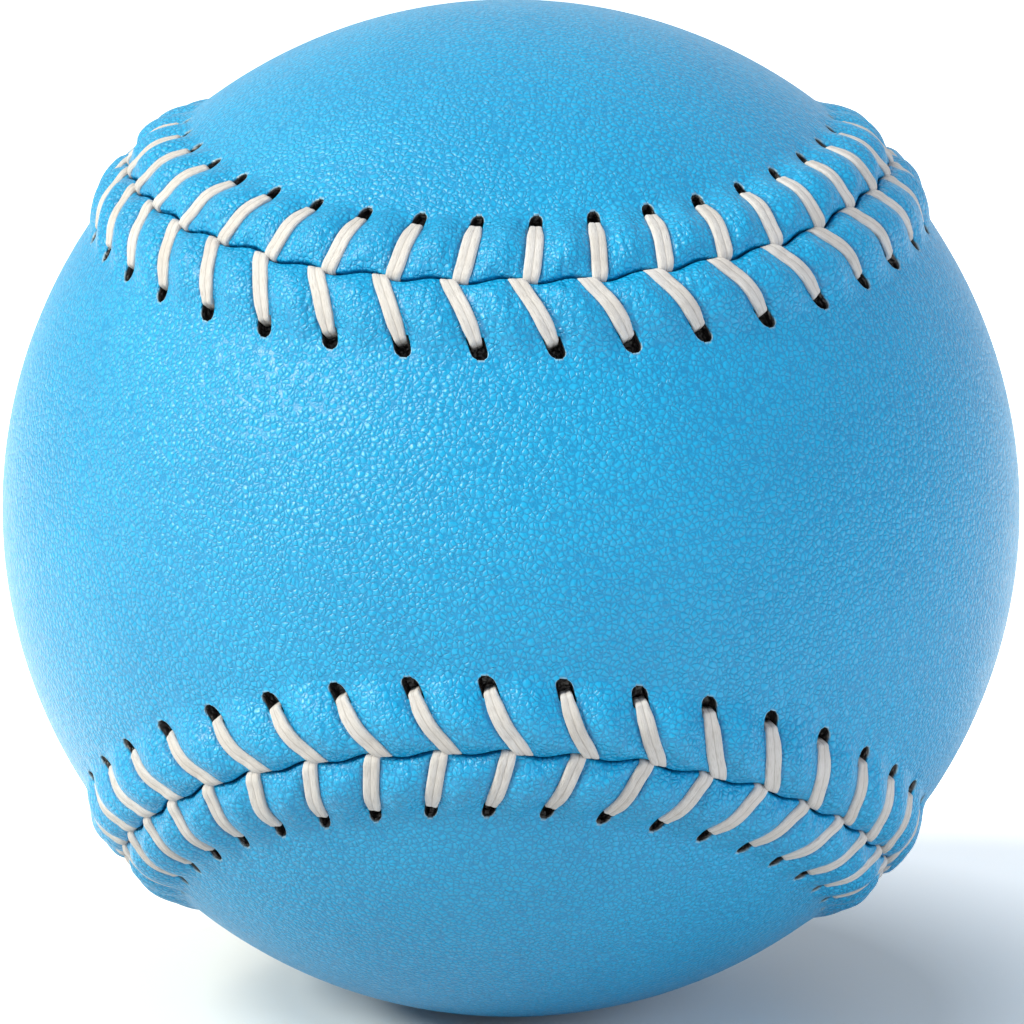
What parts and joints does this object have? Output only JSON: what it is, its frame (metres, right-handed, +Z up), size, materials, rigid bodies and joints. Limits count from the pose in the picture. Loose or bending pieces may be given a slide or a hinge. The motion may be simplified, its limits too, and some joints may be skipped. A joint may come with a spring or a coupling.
{
  "type": "softball",
  "caption": "Leather-covered softball: two figure-eight panels sewn edge to edge with two strands of thread over a raised seam, round a wound core.",
  "frame": {"origin": "centre of the ball", "axes": "+Z up as the ball lies in the picture, -Y towards the viewer; the middle of the front panel looks along -Y and 9 degrees up, its lobes along +X and -X"},
  "size_m": [0.089, 0.0899, 0.089],
  "materials": {
    "core_foam": "matte foam, closed cells",
    "yarn": "wound polyester and cotton yarn",
    "latex": "dried dark latex cement",
    "leather": "sky blue, fine pebbled grain, semi-gloss",
    "thread": "waxed off-white cotton thread of two plies"
  },
  "bodies": {
    "root": {"core": "core_foam", "yarn_winding": "yarn", "latex_coat": "latex", "front_panel": "leather", "back_panel": "leather", "first_strand": "thread", "second_strand": "thread"}
  },
  "joints": []
}
